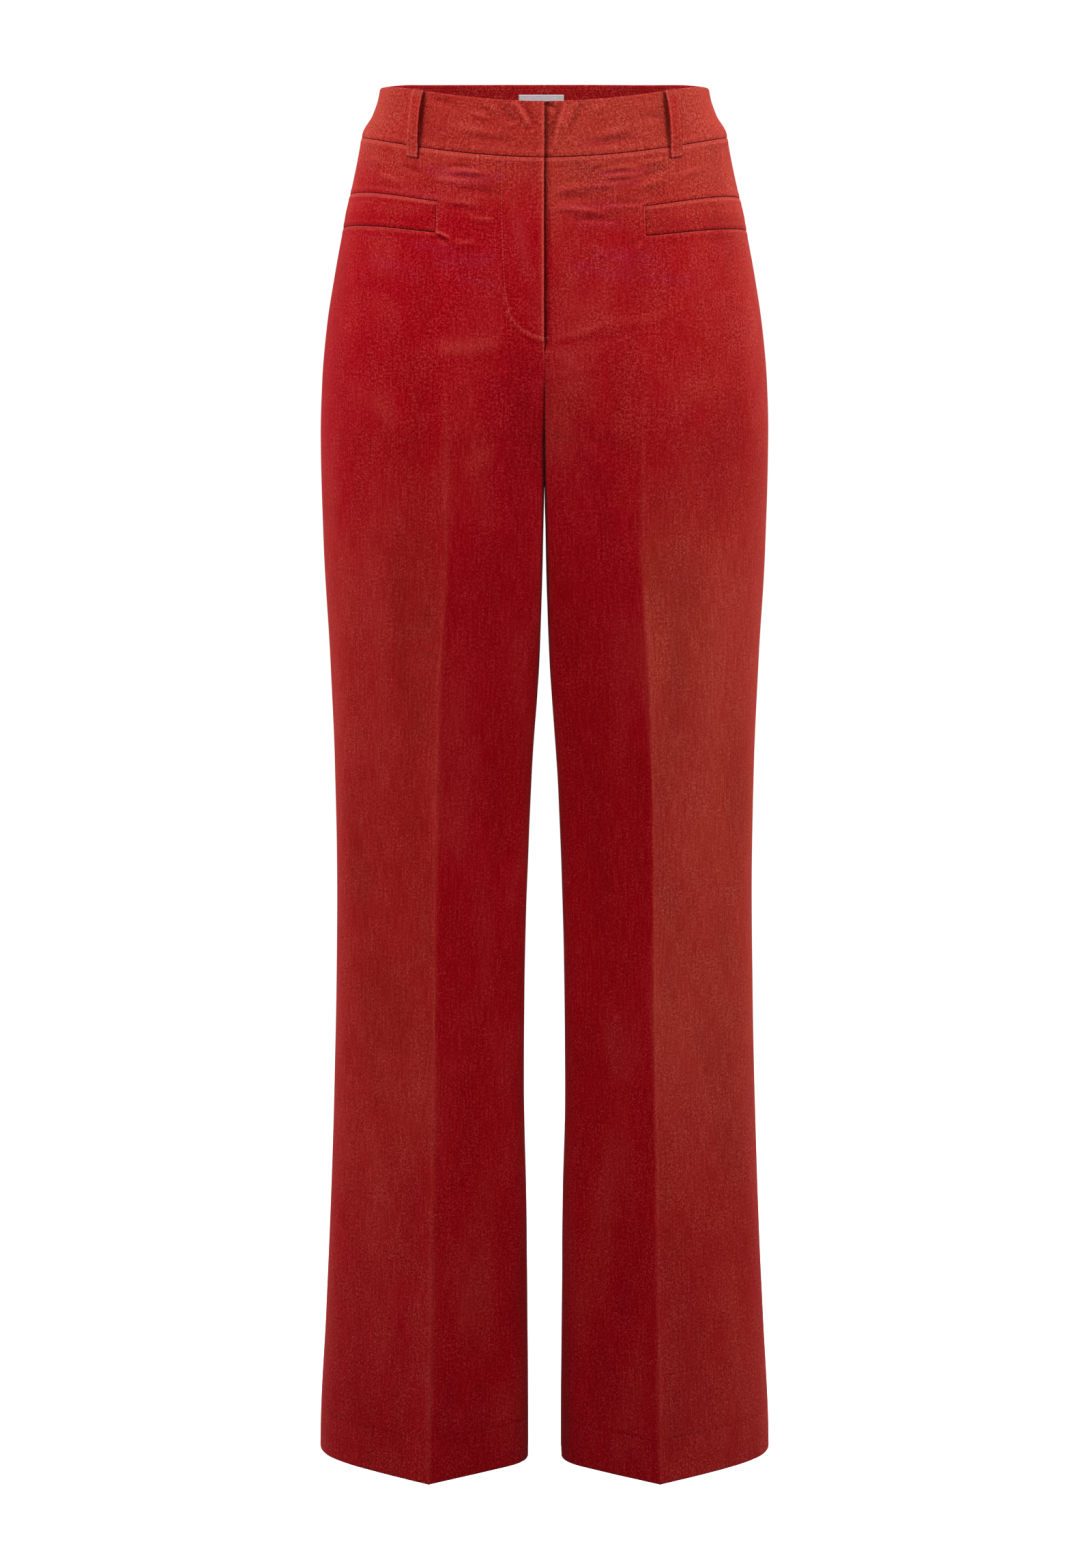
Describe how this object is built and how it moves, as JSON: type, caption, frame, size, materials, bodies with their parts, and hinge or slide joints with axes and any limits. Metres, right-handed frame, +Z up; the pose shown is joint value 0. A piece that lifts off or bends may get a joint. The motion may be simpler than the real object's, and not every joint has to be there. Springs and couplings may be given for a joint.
{
  "type": "flared velvet trousers",
  "caption": "Flared velvet trousers held open as if worn: banded waist, lapped fly front, belt loops, flush pocket welts, pressed folds and wide open legs.",
  "frame": {"origin": "middle of the waist, level with the waistband's top edge at the sides", "axes": "+Z up the body, -Y out of the front, +X towards the wearer's left side"},
  "size_m": [0.3552, 0.2342, 1.0686],
  "materials": {
    "velvet": "short-pile velvet, crimson, slightly crushed",
    "label_tape": "plain woven satin tape, pale grey, blank"
  },
  "bodies": {
    "root": {"waistband_right": "velvet", "waistband_left": "velvet", "front_right": "velvet", "front_left": "velvet", "back_right": "velvet", "back_left": "velvet", "pocket_welt_right": "velvet", "pocket_welt_left": "velvet", "belt_loop_front_right": "velvet", "belt_loop_front_left": "velvet", "belt_loop_back_right": "velvet", "belt_loop_back_left": "velvet", "label": "label_tape"}
  },
  "joints": []
}
